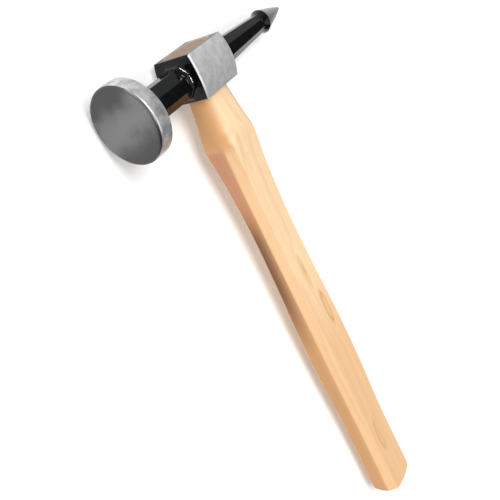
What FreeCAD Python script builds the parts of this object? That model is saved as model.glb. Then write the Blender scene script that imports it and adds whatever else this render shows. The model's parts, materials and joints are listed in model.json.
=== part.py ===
import FreeCAD, Part
import math
import os

# Pick hammer with a round flat face, lying at rest on its side.  Sizes are in millimetres.
#
# The pieces are drawn in the hammer's own axes, with the origin where the head's axis crosses
# the handle's axis:
#   x  along the head, from the round face (-x) to the pick (+x)
#   y  across the head, towards the cheek that lies underneath
#   z  along the handle, from the butt (-z) to the top of the eye (+z)
# lay_down() then turns them into the part's frame, where +Z is up, +Y runs from the butt to
# the head, and the floor is Z = 0.

# Round striking face
FACE_RADIUS = 20.0
FACE_FRONT = -60.4
FACE_BACK = -51.4
FACE_EDGE_ROUND = 1.8
FACE_BACK_BEVEL = 0.4
FACE_FLARE_RADIUS = 14.0

# Octagonal neck between the face and the eye block, measured to its flats
FACE_NECK_APOTHEM = 7.9
NECK_BLEND = 2.6

# Eye block: barrel-shaped cheeks, slightly crowned ends
BLOCK_HALF_LENGTH = 14.4
BLOCK_TOP = 12.35
BLOCK_BOTTOM = -10.95
BLOCK_EDGE_HALF_WIDTH = 12.0
BLOCK_MIDDLE_HALF_WIDTH = 13.8
BLOCK_END_CROWN = 0.9
BLOCK_FRONT_BEVEL = 0.7
BLOCK_REAR_ROUND = 1.2
BLOCK_RIM_ROUND = 0.5

# Eye: an oval hole, narrowest at its waist and flared towards the top so the wedges lock it
EYE_BOTTOM = (11.6, 8.4)
EYE_WAIST = (11.0, 7.8)
EYE_TOP = (12.4, 10.0)
EYE_WAIST_Z = -3.0
EYE_SQUARENESS = 2.6

# Octagonal pick neck, tapering to a round collar and a cone
PICK_NECK_START_APOTHEM = 7.5
PICK_NECK_END_APOTHEM = 5.15
PICK_NECK_END = 60.0
COLLAR_X = 66.8
COLLAR_RADIUS = 6.75
COLLAR_EDGE = 0.35
TIP_X = 88.5
TIP_RADIUS = 0.9
CONE_CROWN = 0.4

# Handle neck: oval half-sizes (along x, along y) and squareness at each height z
HANDLE_NECK = [
    (BLOCK_BOTTOM, 12.0, 8.7, 2.1),
    (-23.0, 13.5, 9.7, 2.3),
    (-35.0, 15.3, 10.9, 2.6),
    (-46.0, 18.0, 13.8, 2.7),
]

# Handle grip: octagon half-sizes (along x, along y) at each height z
GRIP = [
    (-10.0, 15.8, 12.2),
    (-38.0, 15.0, 10.4),
    (-60.0, 14.1, 8.9),
    (-88.0, 13.5, 8.2),
    (-124.0, 13.9, 8.5),
    (-160.0, 14.8, 9.3),
    (-200.0, 15.2, 9.6),
    (-245.0, 14.5, 9.2),
    (-315.0, 15.3, 9.7),
]
GRIP_CHAMFER = 4.5
GRIP_LEAN_START = -38.0
GRIP_LEAN = 2.0 / 262.0

# Butt: the grip is cut off by a flattened dome
BUTT_Z = -311.8
BUTT_DOME_HEIGHT = 8.5
BUTT_DOME_HALF_X = 16.2
BUTT_DOME_HALF_Y = 16.2

# Wooden wedge, driven lengthwise into the sawn kerf
WOOD_WEDGE_DEPTH = 19.0
WOOD_WEDGE_TOP_THICKNESS = 3.4
WOOD_WEDGE_END_THICKNESS = 0.9

# Two steel wedges, driven crosswise: (name, x, y) of the middle of each
STEEL_WEDGES = [
    ("steel_wedge_front", -3.6, 2.2),
    ("steel_wedge_rear", 5.4, -2.0),
]
STEEL_WEDGE_WIDTH = 9.0
STEEL_WEDGE_DEPTH = 12.0
STEEL_WEDGE_TOP_THICKNESS = 2.0
STEEL_WEDGE_END_THICKNESS = 0.4

X_AXIS = FreeCAD.Vector(1, 0, 0)
Z_AXIS = FreeCAD.Vector(0, 0, 1)
HEAD_AXIS_POINT = FreeCAD.Vector(0, 0, 0)
OVAL_POINTS = 24


def vector(x, y, z):
    return FreeCAD.Vector(x, y, z)


def octagon_across_x(x, apothem):
    """A regular octagon in the plane x = constant, with flats facing +-y and +-z."""
    radius = apothem / math.cos(math.pi / 8)
    corners = []
    for i in range(8):
        angle = math.pi / 8 + i * math.pi / 4
        corners.append(vector(x, radius * math.cos(angle), radius * math.sin(angle)))
    return Part.makePolygon(corners + corners[:1])


def oval_across_z(z, half_x, half_y, squareness):
    """A smooth closed oval in the plane z = constant.  Squareness 2 is an ellipse."""
    points = []
    for i in range(OVAL_POINTS):
        angle = 2 * math.pi * i / OVAL_POINTS
        c = math.cos(angle)
        s = math.sin(angle)
        x = half_x * math.copysign(abs(c) ** (2 / squareness), c)
        y = half_y * math.copysign(abs(s) ** (2 / squareness), s)
        points.append(vector(x, y, z))
    curve = Part.BSplineCurve()
    curve.interpolate(Points=points, PeriodicFlag=True)
    return Part.Wire(curve.toShape())


def octagon_across_z(z, half_x, half_y):
    """The grip's section: a flattened octagon with equal chamfers, leaning towards the pick."""
    middle = max(0.0, (GRIP_LEAN_START - z) * GRIP_LEAN)
    flat_x = half_x - GRIP_CHAMFER
    flat_y = half_y - GRIP_CHAMFER
    corners = [
        (half_x, flat_y), (flat_x, half_y), (-flat_x, half_y), (-half_x, flat_y),
        (-half_x, -flat_y), (-flat_x, -half_y), (flat_x, -half_y), (half_x, -flat_y),
    ]
    points = [vector(middle + x, y, z) for x, y in corners]
    return Part.makePolygon(points + points[:1])


def revolved(edges):
    """Turn a profile, drawn in the x-z plane above the head's axis, about that axis."""
    face = Part.Face(Part.Wire(edges))
    return face.revolve(HEAD_AXIS_POINT, X_AXIS, 360)


def line(start, end):
    """A straight profile edge between two (x, radius) points."""
    return Part.LineSegment(vector(start[0], 0, start[1]), vector(end[0], 0, end[1])).toShape()


def arc(start, middle, end):
    """A round profile edge through three (x, radius) points."""
    points = [vector(p[0], 0, p[1]) for p in (start, middle, end)]
    return Part.Arc(*points).toShape()


def face_disc():
    """The round face with its ground rim, and the flare behind it down to the neck."""
    round_ = FACE_EDGE_ROUND
    round_middle = round_ * (1 - math.cos(math.pi / 4))
    flare_top = FACE_RADIUS - FACE_BACK_BEVEL
    flare_angle = math.acos(1 - (flare_top - FACE_NECK_APOTHEM) / FACE_FLARE_RADIUS)
    flare_end = FACE_BACK + FACE_FLARE_RADIUS * math.sin(flare_angle)
    half_angle = flare_angle / 2
    flare_middle = (
        flare_end - FACE_FLARE_RADIUS * math.sin(half_angle),
        FACE_NECK_APOTHEM + FACE_FLARE_RADIUS * (1 - math.cos(half_angle)),
    )
    edges = [
        line((FACE_FRONT, 0), (FACE_FRONT, FACE_RADIUS - round_)),
        arc(
            (FACE_FRONT, FACE_RADIUS - round_),
            (FACE_FRONT + round_middle, FACE_RADIUS - round_middle),
            (FACE_FRONT + round_, FACE_RADIUS),
        ),
        line((FACE_FRONT + round_, FACE_RADIUS), (FACE_BACK - FACE_BACK_BEVEL, FACE_RADIUS)),
        line((FACE_BACK - FACE_BACK_BEVEL, FACE_RADIUS), (FACE_BACK, flare_top)),
        arc((FACE_BACK, flare_top), flare_middle, (flare_end, FACE_NECK_APOTHEM)),
        line((flare_end, FACE_NECK_APOTHEM), (flare_end, 0)),
        line((flare_end, 0), (FACE_FRONT, 0)),
    ]
    return revolved(edges)


def octagonal_bar(stations):
    """A straight-sided bar through octagons given as (x, apothem)."""
    wires = [octagon_across_x(x, apothem) for x, apothem in stations]
    return Part.makeLoft(wires, True, True)


def blend_stations(x_wall, apothem, direction):
    """Octagons of a concave quarter-round blend that grows as it nears the wall."""
    stations = []
    steps = 5
    for i in range(steps + 1):
        angle = i * math.pi / 2 / steps
        distance = NECK_BLEND * (1 - math.sin(angle))
        growth = NECK_BLEND * (1 - math.cos(angle))
        stations.append((x_wall + direction * distance, apothem + growth))
    return stations


def face_neck():
    """The octagonal neck from inside the face's flare to inside the eye block."""
    inside_flare = (FACE_BACK + 1.0, FACE_NECK_APOTHEM)
    wall = -(BLOCK_HALF_LENGTH + BLOCK_END_CROWN / 2)
    stations = [inside_flare] + blend_stations(wall, FACE_NECK_APOTHEM, -1)
    grown = FACE_NECK_APOTHEM + NECK_BLEND
    stations.append((wall + BLOCK_END_CROWN, grown))
    return octagonal_bar(stations)


def pick_neck_apothem(x):
    """The pick neck's taper, as the distance from the axis to its flats."""
    share = (x - BLOCK_HALF_LENGTH) / (PICK_NECK_END - BLOCK_HALF_LENGTH)
    return PICK_NECK_START_APOTHEM + share * (PICK_NECK_END_APOTHEM - PICK_NECK_START_APOTHEM)


def pick_neck():
    """The tapering octagonal neck, from inside the eye block to inside the collar's flare."""
    wall = BLOCK_HALF_LENGTH + BLOCK_END_CROWN / 2
    stations = []
    for x, apothem in reversed(blend_stations(wall, 0, 1)):
        stations.append((x, pick_neck_apothem(x) + apothem))
    stations.insert(0, (wall - BLOCK_END_CROWN, stations[0][1]))
    stations.append((PICK_NECK_END + 1.0, pick_neck_apothem(PICK_NECK_END + 1.0)))
    return octagonal_bar(stations)


def on_tip(angle):
    """The (x, radius) point of the tip's rounding at an angle from the head's axis."""
    return TIP_X - TIP_RADIUS * (1 - math.cos(angle)), TIP_RADIUS * math.sin(angle)


def pick_point():
    """The round collar that flares out of the neck, and the slightly crowned cone."""
    flare_start = (PICK_NECK_END, PICK_NECK_END_APOTHEM)
    flare_end = (COLLAR_X - COLLAR_EDGE, COLLAR_RADIUS)
    flare_middle = (
        (flare_start[0] + flare_end[0]) / 2,
        flare_start[1] + 0.3 * (flare_end[1] - flare_start[1]),
    )
    cone_start = (COLLAR_X, COLLAR_RADIUS - COLLAR_EDGE)
    tip_centre = TIP_X - TIP_RADIUS
    slope = math.atan2(cone_start[1] - TIP_RADIUS, tip_centre - COLLAR_X)
    tip_start = on_tip(math.pi / 2 - slope)
    tip_middle = on_tip((math.pi / 2 - slope) / 2)
    cone_middle = (
        (cone_start[0] + tip_start[0]) / 2 + CONE_CROWN * math.sin(slope),
        (cone_start[1] + tip_start[1]) / 2 + CONE_CROWN * math.cos(slope),
    )
    edges = [
        line((flare_start[0], 0), flare_start),
        arc(flare_start, flare_middle, flare_end),
        line(flare_end, cone_start),
        arc(cone_start, cone_middle, tip_start),
        arc(tip_start, tip_middle, (TIP_X, 0)),
        line((TIP_X, 0), (flare_start[0], 0)),
    ]
    return revolved(edges)


def barrel_section(x):
    """The block's section across the head: flat top and bottom, cheeks bowed outwards."""
    low = BLOCK_BOTTOM
    high = BLOCK_TOP
    middle = (low + high) / 2
    edge = BLOCK_EDGE_HALF_WIDTH
    bow = BLOCK_MIDDLE_HALF_WIDTH
    edges = [
        Part.LineSegment(vector(x, -edge, high), vector(x, edge, high)).toShape(),
        Part.Arc(vector(x, edge, high), vector(x, bow, middle), vector(x, edge, low)).toShape(),
        Part.LineSegment(vector(x, edge, low), vector(x, -edge, low)).toShape(),
        Part.Arc(vector(x, -edge, low), vector(x, -bow, middle), vector(x, -edge, high)).toShape(),
    ]
    return Part.Face(Part.Wire(edges))


def crowned_outline(y):
    """The block's outline along the head: its two ends bow outwards at mid height."""
    half = BLOCK_HALF_LENGTH
    bow = half + BLOCK_END_CROWN
    low = BLOCK_BOTTOM
    high = BLOCK_TOP
    middle = (low + high) / 2
    edges = [
        Part.LineSegment(vector(-half, y, high), vector(half, y, high)).toShape(),
        Part.Arc(vector(half, y, high), vector(bow, y, middle), vector(half, y, low)).toShape(),
        Part.LineSegment(vector(half, y, low), vector(-half, y, low)).toShape(),
        Part.Arc(vector(-half, y, low), vector(-bow, y, middle), vector(-half, y, high)).toShape(),
    ]
    return Part.Face(Part.Wire(edges))


def upright_edges(block, side):
    """The block's two edges that run along z, at its front (side -1) or rear (side +1)."""
    found = []
    for edge in block.Edges:
        middle = edge.CenterOfMass
        tall = edge.BoundBox.ZLength > 0.8 * (BLOCK_TOP - BLOCK_BOTTOM)
        if tall and side * middle.x > 0:
            found.append(edge)
    return found


def level_edges(block):
    """The block's edges around its top and bottom faces."""
    return [edge for edge in block.Edges if edge.BoundBox.ZLength < 0.01]


def eye_block():
    """The solid block around the eye, before the hole is made."""
    length = 2 * (BLOCK_HALF_LENGTH + 2 * BLOCK_END_CROWN)
    width = 2 * (BLOCK_MIDDLE_HALF_WIDTH + 1)
    barrel = barrel_section(-length / 2).extrude(vector(length, 0, 0))
    crown = crowned_outline(-width / 2).extrude(vector(0, width, 0))
    block = barrel.common(crown)
    block = block.makeChamfer(BLOCK_FRONT_BEVEL, upright_edges(block, -1))
    block = block.makeFillet(BLOCK_REAR_ROUND, upright_edges(block, 1))
    return block.makeFillet(BLOCK_RIM_ROUND, level_edges(block))


def eye_core():
    """The space inside the eye, which the handle's tenon and the wedges fill."""
    ovals = [
        (BLOCK_BOTTOM, EYE_BOTTOM),
        (EYE_WAIST_Z, EYE_WAIST),
        (BLOCK_TOP, EYE_TOP),
    ]
    wires = [oval_across_z(z, size[0], size[1], EYE_SQUARENESS) for z, size in ovals]
    return Part.makeLoft(wires, True, False)


def hammer_head():
    """One forging: face, neck, eye block, pick neck, collar and cone."""
    solid = eye_block()
    for piece in (face_disc(), face_neck(), pick_neck(), pick_point()):
        solid = solid.fuse(piece)
    return solid.cut(eye_core()).removeSplitter()


def handle_neck():
    """The oval neck that swells from the eye down to the shoulder."""
    wires = [oval_across_z(*station) for station in HANDLE_NECK]
    return Part.makeLoft(wires, True, False)


def grip_bar():
    """The octagonal bar that the whole grip and the shoulder are cut from."""
    wires = [octagon_across_z(z, a, b) for z, a, b in GRIP]
    return Part.makeLoft(wires, True, False)


def butt_dome():
    """The space that the grip's end fills: a long bar ending in half an ellipsoid."""
    middle_z = BUTT_Z + BUTT_DOME_HEIGHT
    middle_x = (GRIP_LEAN_START - BUTT_Z) * GRIP_LEAN
    ball = Part.makeSphere(1.0)
    stretch = FreeCAD.Matrix()
    stretch.scale(BUTT_DOME_HALF_X, BUTT_DOME_HALF_Y, BUTT_DOME_HEIGHT)
    dome = ball.transformGeometry(stretch)
    dome.translate(vector(middle_x, 0, middle_z))
    side = 4 * BUTT_DOME_HALF_X
    bar = Part.makeBox(side, side, -middle_z, vector(-side / 2, -side / 2, middle_z))
    return bar.fuse(dome)


def handle():
    """The hickory handle: grip, shoulder, oval neck and the tenon that fills the eye."""
    neck_end = HANDLE_NECK[-1][0]
    size = 4 * BUTT_DOME_HALF_X
    above = Part.makeBox(size, size, 100, vector(-size / 2, -size / 2, neck_end))
    shoulder = grip_bar().common(above).common(handle_neck())
    grip = grip_bar().cut(above).common(butt_dome())
    return grip.fuse(shoulder).fuse(eye_core()).removeSplitter()


def tapered_slab(middle_x, middle_y, half_x, half_y, end_half_x, end_half_y, depth):
    """A wedge's envelope, hanging from the top of the eye, thinner at its lower end."""
    top = BLOCK_TOP
    low = BLOCK_TOP - depth

    def rectangle(z, a, b):
        corners = [(-a, -b), (a, -b), (a, b), (-a, b), (-a, -b)]
        return Part.makePolygon([vector(middle_x + x, middle_y + y, z) for x, y in corners])

    wires = [rectangle(low, end_half_x, end_half_y), rectangle(top, half_x, half_y)]
    return Part.makeLoft(wires, True, True)


def wood_wedge():
    """The wooden wedge, as long as the eye and trimmed to it at both ends."""
    half_length = EYE_TOP[0] + 2
    slab = tapered_slab(
        0, 0, half_length, WOOD_WEDGE_TOP_THICKNESS / 2,
        half_length, WOOD_WEDGE_END_THICKNESS / 2, WOOD_WEDGE_DEPTH,
    )
    return slab.common(eye_core())


def steel_wedge(x, y):
    """One steel wedge, driven across the wooden one."""
    return tapered_slab(
        x, y, STEEL_WEDGE_TOP_THICKNESS / 2, STEEL_WEDGE_WIDTH / 2,
        STEEL_WEDGE_END_THICKNESS / 2, STEEL_WEDGE_WIDTH / 2, STEEL_WEDGE_DEPTH,
    )


def resting_plane():
    """The floor under the hammer, as its upward normal and its height below the eye's centre.

    The hammer rests on three things: the back edge of the round face, the rear of the lower
    cheek, and the corner of the grip's broad side near the butt.
    """
    cheek_x = BLOCK_HALF_LENGTH + BLOCK_END_CROWN - BLOCK_REAR_ROUND
    fall = (FACE_RADIUS - BLOCK_MIDDLE_HALF_WIDTH) / (cheek_x - FACE_BACK)
    level = 1 / math.sqrt(1 + fall * fall)
    normal_x = -fall * level
    height = normal_x * FACE_BACK - FACE_RADIUS * level
    butt_z = BUTT_Z + BUTT_DOME_HEIGHT
    half_x, half_y = GRIP[-1][1:]
    butt_x = (GRIP_LEAN_START - butt_z) * GRIP_LEAN + half_x - GRIP_CHAMFER
    reach = math.hypot(half_y, butt_z)
    drop = (normal_x * butt_x - height) / level
    turn = math.atan2(-butt_z, half_y) - math.acos(drop / reach)
    normal = vector(normal_x, -level * math.cos(turn), level * math.sin(turn))
    return normal, height


def lay_down(pieces):
    """Turn the pieces from the hammer's axes to the part's frame, resting on Z = 0."""
    up, height = resting_plane()
    along = Z_AXIS - up * Z_AXIS.dot(up)
    along.normalize()
    across = along.cross(up)
    turn = FreeCAD.Matrix(
        across.x, across.y, across.z, 0,
        along.x, along.y, along.z, 0,
        up.x, up.y, up.z, -height,
        0, 0, 0, 1,
    )
    placed = {name: shape.transformed(turn) for name, shape in pieces.items()}
    box = Part.makeCompound(list(placed.values())).optimalBoundingBox(False, False)
    shift = vector(-box.Center.x, -box.Center.y, 0)
    for shape in placed.values():
        shape.translate(shift)
    return placed


def hammer():
    """All the pieces, by node name, in the hammer's own axes."""
    pieces = {"hammer_head": hammer_head()}
    steel = {name: steel_wedge(x, y) for name, x, y in STEEL_WEDGES}
    wedge = wood_wedge()
    shaft = handle().cut(wedge)
    for blade in steel.values():
        wedge = wedge.cut(blade)
        shaft = shaft.cut(blade)
    pieces["handle"] = shaft
    pieces["wood_wedge"] = wedge
    pieces.update(steel)
    return pieces


def main():
    os.makedirs("parts", exist_ok=True)
    for name, shape in lay_down(hammer()).items():
        solid = shape.Solids[0]
        if len(shape.Solids) != 1 or not solid.isValid():
            raise RuntimeError("piece " + name + " is not one valid solid")
        solid.exportStep("parts/" + name + ".step")
        box = solid.optimalBoundingBox(False, False)
        print(name, round(solid.Volume, 1), box)


main()
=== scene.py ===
"""Looks of the pick hammer: ground and lacquered steel head, hickory handle, wedges in the eye.

Lengths are in millimetres, except where a comment says metres.  They are in the hammer's own axes,
whose origin is where the head's axis crosses the handle's:
    x  along the head, from the round face (-x) to the pick (+x)
    y  across the head, towards the cheek that lies underneath
    z  along the handle, from the butt (-z) to the top of the eye (+z)
hammer_axes() finds where those axes lie in the CAD frame, from the record's mounts.
"""
import json
import math

import bmesh
import bpy
import numpy as np
from mathutils import Matrix, Vector


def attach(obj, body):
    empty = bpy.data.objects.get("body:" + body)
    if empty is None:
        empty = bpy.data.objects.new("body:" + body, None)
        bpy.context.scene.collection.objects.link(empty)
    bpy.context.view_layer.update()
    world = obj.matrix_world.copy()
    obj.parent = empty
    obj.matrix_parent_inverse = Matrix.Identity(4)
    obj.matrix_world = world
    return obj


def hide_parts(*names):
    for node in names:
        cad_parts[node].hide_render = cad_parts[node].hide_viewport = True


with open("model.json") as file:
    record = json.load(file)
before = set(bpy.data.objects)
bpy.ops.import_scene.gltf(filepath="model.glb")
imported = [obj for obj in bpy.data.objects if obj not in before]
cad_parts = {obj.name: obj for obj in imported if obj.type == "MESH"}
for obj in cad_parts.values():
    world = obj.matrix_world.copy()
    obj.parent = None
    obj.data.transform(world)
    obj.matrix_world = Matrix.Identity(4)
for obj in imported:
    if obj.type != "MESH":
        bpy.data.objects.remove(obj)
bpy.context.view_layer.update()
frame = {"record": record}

MM = 0.001

# Round face
FACE_X = -60.4
FACE_BACK_X = -51.4
FACE_RADIUS = 20.0
FACE_ROUND = 1.8
FACE_BEVEL = 0.4
FLARE_RADIUS = 14.0

# Rings across the flat of the face, as shares of its radius
FACE_SHARES = (0.12, 0.25, 0.4, 0.55, 0.7, 0.82, 0.92, 0.98)
FACE_ROUND_STEPS = 9

# Octagonal necks
FACE_NECK_APOTHEM = 7.9
PICK_NECK_START_APOTHEM = 7.5
PICK_NECK_END_APOTHEM = 5.15
PICK_NECK_END_X = 60.0
NECK_BLEND = 2.6
NECK_CRISPNESS = 130

# Eye block
BLOCK_HALF_LENGTH = 14.4
BLOCK_TOP = 12.35
BLOCK_BOTTOM = -10.95
BLOCK_EDGE_HALF_WIDTH = 12.0
BLOCK_MIDDLE_HALF_WIDTH = 13.8
BLOCK_CROWN = 0.9
BLOCK_FRONT_BEVEL = 0.7
BLOCK_REAR_ROUND = 1.2
BLOCK_RIM_ROUND = 0.5
LACQUERED_END = 0.4
BLOCK_MIDDLE_Z = (BLOCK_TOP + BLOCK_BOTTOM) / 2
BLOCK_HALF_HEIGHT = (BLOCK_TOP - BLOCK_BOTTOM) / 2

# Collar, cone and tip of the pick
COLLAR_X = 66.8
COLLAR_RADIUS = 6.75
COLLAR_EDGE = 0.35
COLLAR_FLARE_STEPS = 14
TIP_X = 88.5
TIP_RADIUS = 0.9
CONE_CROWN = 0.4

# Eye: half-sizes (x, y) at its bottom, waist and top
EYE_STATIONS = [(BLOCK_BOTTOM, 11.6, 8.4), (-3.0, 11.0, 7.8), (BLOCK_TOP, 12.4, 10.0)]
EYE_SQUARENESS = 2.6
EYE_MOUTH_BEVEL = 0.35
TENON_GAP = 0.04
TENON_DOME = 0.3
TENON_EDGE_DROP = 0.08

# Handle: half-sizes (x, y) and squareness of the oval neck at each z
NECK_STATIONS = [
    (BLOCK_BOTTOM, 12.0, 8.7, 2.1),
    (-23.0, 13.5, 9.7, 2.3),
    (-35.0, 15.3, 10.9, 2.6),
    (-46.0, 18.0, 13.8, 2.7),
]
# Handle: half-sizes (x, y) of the octagonal grip at each z
GRIP_STATIONS = [
    (-10.0, 15.8, 12.2),
    (-38.0, 15.0, 10.4),
    (-60.0, 14.1, 8.9),
    (-88.0, 13.5, 8.2),
    (-124.0, 13.9, 8.5),
    (-160.0, 14.8, 9.3),
    (-200.0, 15.2, 9.6),
    (-245.0, 14.5, 9.2),
    (-315.0, 15.3, 9.7),
]
GRIP_CHAMFER = 4.5
GRIP_CRISPNESS = 75

# The grip leans towards the pick, starting at this z, by so much sideways over so much length
GRIP_LEAN_START = -38.0
GRIP_LEAN_SIDEWAYS = 2.0
GRIP_LEAN_LENGTH = 262.0

# Domed butt
BUTT_Z = -311.8
BUTT_DOME_HEIGHT = 8.5
BUTT_DOME_HALF = 16.2
BUTT_PIVOT_Z = BUTT_Z + BUTT_DOME_HEIGHT
BUTT_ROUNDEST = 26

# Wedges
WOOD_WEDGE_DEPTH = 19.0
WOOD_WEDGE_TOP = 3.4
WOOD_WEDGE_END = 0.9
WOOD_WEDGE_PAST_EYE = 3
STEEL_WEDGE_SPOTS = {"steel_wedge_front": (-3.6, 2.2), "steel_wedge_rear": (5.4, -2.0)}
STEEL_WEDGE_WIDTH = 9.0
STEEL_WEDGE_DEPTH = 12.0
STEEL_WEDGE_TOP = 2.0
STEEL_WEDGE_END = 0.4
STEEL_WEDGE_PROUD = 0.22
STEEL_WEDGE_BEVEL = 0.12

# Slots are cut a little larger than their wedges, and untrimmed slabs reach above the eye
WEDGE_GAP = 0.03
SLAB_LIFT = 2.0
SLAB_CORNER = 0.25

# Edges sharper than this many degrees stay sharp in the shading
HEAD_SHARP = 28
WOOD_SHARP = 50
STEEL_WEDGE_SHARP = 40

# Oval figures in the wood's grain: middle and spread in x, y, z, with 0 for endless
OVAL_FIGURES = [
    ((0.0, 0.0, -127.0), (2.6, 0, 14.0)),
    ((4.0, 0.0, -158.0), (3.2, 0, 17.0)),
    ((-1.5, 0.0, -262.0), (3.4, 0, 17.0)),
]

# An orange fleck at the side of the neck
NECK_FLECK = (-12.4, -7.4, -34.5)

# Points around the head and around the handle
HEAD_AROUND = 192
HANDLE_AROUND = 256

# Half the floor's side, in metres
FLOOR_HALF = 20.0

# Camera, in the hammer's axes
CAMERA_SPOT = (-262.5, -234.0, 65.5)
CAMERA_FORWARD = (0.649, 0.6264, -0.4318)
CAMERA_UP = (0.5866, -0.0506, 0.8083)
CAMERA_LENS = 49.3
CAMERA_SHIFT = (-0.0078, -0.0042)

# Surroundings: their brightest direction in the CAD frame, the brightness there and opposite, and
# where between the two, as a cosine, the fade starts and ends
BRIGHT_DIRECTION = (0.0, 0.75, -0.66)
BRIGHT_SIDE = 0.60
DIM_SIDE = 0.06
FADE_START = -0.5
FADE_END = 0.4

# Far-off soft lights: direction in the CAD frame, width of the lit disc in degrees, strength
SOFT_LIGHTS = {
    "key": ((-0.12, 0.40, 1.00), 34, 1.88),
    "fill": ((0.15, -0.45, 1.00), 58, 0.90),
    "edge": ((0.72, 0.10, 0.54), 22, 0.10),
    "glint_above": ((-0.594, -0.192, 0.782), 3.5, 0.75),
    "glint_beyond": ((-0.514, 0.809, 0.286), 3.5, 0.75),
}

# Lights narrower than this only make highlights, and cast no shadow
NARROW_LIGHT = 10

# Finishes of the head, as material indices
SATIN = 0
TURNED = 1
GROUND = 2
LACQUER = 3


# ---------------------------------------------------------------- axes

def hammer_axes():
    """The matrix from the hammer's axes, in millimetres, to the CAD frame, in metres."""
    mounts = {mount["name"]: mount for mount in frame["record"]["mounts"]}
    face = mounts["striking_face"]
    x_axis = -Vector(face["axis"]).normalized()
    z_axis = Vector(mounts["grip"]["axis"])
    z_axis = (z_axis - x_axis * z_axis.dot(x_axis)).normalized()
    y_axis = z_axis.cross(x_axis)
    origin = Vector(face["pos_m"]) - x_axis * FACE_X * MM
    turn = Matrix((x_axis, y_axis, z_axis)).transposed()
    return Matrix.Translation(origin) @ turn.to_4x4() @ Matrix.Scale(MM, 4)


HAMMER = hammer_axes()
HEAD_AXIS = (HAMMER.to_3x3() @ Vector((1, 0, 0))).normalized()
HANDLE_AXIS = (HAMMER.to_3x3() @ Vector((0, 0, 1))).normalized()


# ---------------------------------------------------------------- mesh tools

def smooth_between(stations, z, column):
    """A smooth curve through (z, value...) stations, whose z falls from row to row."""
    rows = sorted(stations)
    zs = [row[0] for row in rows]
    values = [row[column] for row in rows]
    slopes = np.gradient(values, zs)
    i = int(np.clip(np.searchsorted(zs, z) - 1, 0, len(zs) - 2))
    span = zs[i + 1] - zs[i]
    t = (z - zs[i]) / span
    rise = values[i + 1] - values[i]
    a = slopes[i] * span - rise
    b = rise - slopes[i + 1] * span
    return values[i] + t * rise + t * (1 - t) * (a * (1 - t) + b * t)


def around(count):
    """The cosines and sines of evenly spaced directions."""
    angles = 2 * np.pi * np.arange(count) / count
    return np.cos(angles), np.sin(angles)


def outward(mesh):
    """Make all faces look outwards."""
    work = bmesh.new()
    work.from_mesh(mesh)
    bmesh.ops.recalc_face_normals(work, faces=work.faces)
    work.to_mesh(mesh)
    work.free()


def tube(name, rings, start_pole, end_pole, band_finish):
    """A closed mesh through rings of points, with a point at each end.

    band_finish(i, k) gives the material index of the face between ring i and i + 1 at place k.
    """
    count = len(rings[0])
    points = np.concatenate([[start_pole], *rings, [end_pole]])
    faces = []
    finishes = []
    for k in range(count):
        after = (k + 1) % count
        faces.append((0, 1 + after, 1 + k))
        finishes.append(band_finish(0, k))
    for i in range(len(rings) - 1):
        low = 1 + i * count
        high = low + count
        for k in range(count):
            after = (k + 1) % count
            faces.append((low + k, low + after, high + after, high + k))
            finishes.append(band_finish(i, k))
    last = 1 + (len(rings) - 1) * count
    for k in range(count):
        after = (k + 1) % count
        faces.append((last + k, last + after, len(points) - 1))
        finishes.append(band_finish(len(rings) - 1, k))
    mesh = bpy.data.meshes.new(name)
    mesh.from_pydata([tuple(p) for p in points], [], faces)
    mesh.polygons.foreach_set("material_index", finishes)
    mesh.update()
    outward(mesh)
    return mesh


def new_object(name, mesh, materials=()):
    """An object for a mesh, in the scene, with its materials in the order of their indices."""
    for material in materials:
        mesh.materials.append(material)
    item = bpy.data.objects.new(name, mesh)
    bpy.context.scene.collection.objects.link(item)
    return item


def apply_modifiers(item):
    """Replace an object's mesh by what its modifiers make of it."""
    bpy.context.view_layer.update()
    depsgraph = bpy.context.evaluated_depsgraph_get()
    result = bpy.data.meshes.new_from_object(item.evaluated_get(depsgraph))
    item.modifiers.clear()
    item.data = result


def carve(item, tool, operation):
    """Combine item with the closed mesh tool, and remove tool."""
    modifier = item.modifiers.new(operation, "BOOLEAN")
    modifier.operation = operation
    modifier.solver = "EXACT"
    modifier.object = tool
    apply_modifiers(item)
    bpy.data.objects.remove(tool)


def finish_piece(item, sharp_degrees):
    """Keep the hammer's coordinates for the materials, then place the piece in the CAD frame."""
    mesh = item.data
    points = np.empty(len(mesh.vertices) * 3, np.float32)
    mesh.vertices.foreach_get("co", points)
    place = mesh.attributes.new("hammer_mm", "FLOAT_VECTOR", "POINT")
    place.data.foreach_set("vector", points)
    mesh.polygons.foreach_set("use_smooth", [True] * len(mesh.polygons))
    mesh.set_sharp_from_angle(angle=math.radians(sharp_degrees))
    mesh.transform(HAMMER)
    mesh.update()
    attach(item, "root")


# ---------------------------------------------------------------- head

def octagon_radius(cosine, sine, apothem):
    """Distance to a regular octagon with slightly rounded corners, for each direction."""
    total = 0
    for i in range(8):
        angle = i * math.pi / 4
        facing = np.maximum(cosine * math.cos(angle) + sine * math.sin(angle), 0)
        total = total + (facing / apothem) ** NECK_CRISPNESS
    return total ** (-1 / NECK_CRISPNESS)


def larger_of(a, b):
    """The larger of two radii, with a small fillet where they are equal."""
    sharpness = 70
    return (a ** sharpness + b ** sharpness) ** (1 / sharpness)


def cross_ring(x, radius, cosine, sine):
    """A ring of points across the head's axis."""
    count = len(cosine)
    return np.stack([np.broadcast_to(x, count), radius * cosine, radius * sine], axis=1)


def block_end_x(z, side):
    """Where the block's crowned front (side -1) or rear (side +1) face is, at height z."""
    away = (z - BLOCK_MIDDLE_Z) / BLOCK_HALF_HEIGHT
    return side * (BLOCK_HALF_LENGTH + BLOCK_CROWN * (1 - away ** 2))


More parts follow.
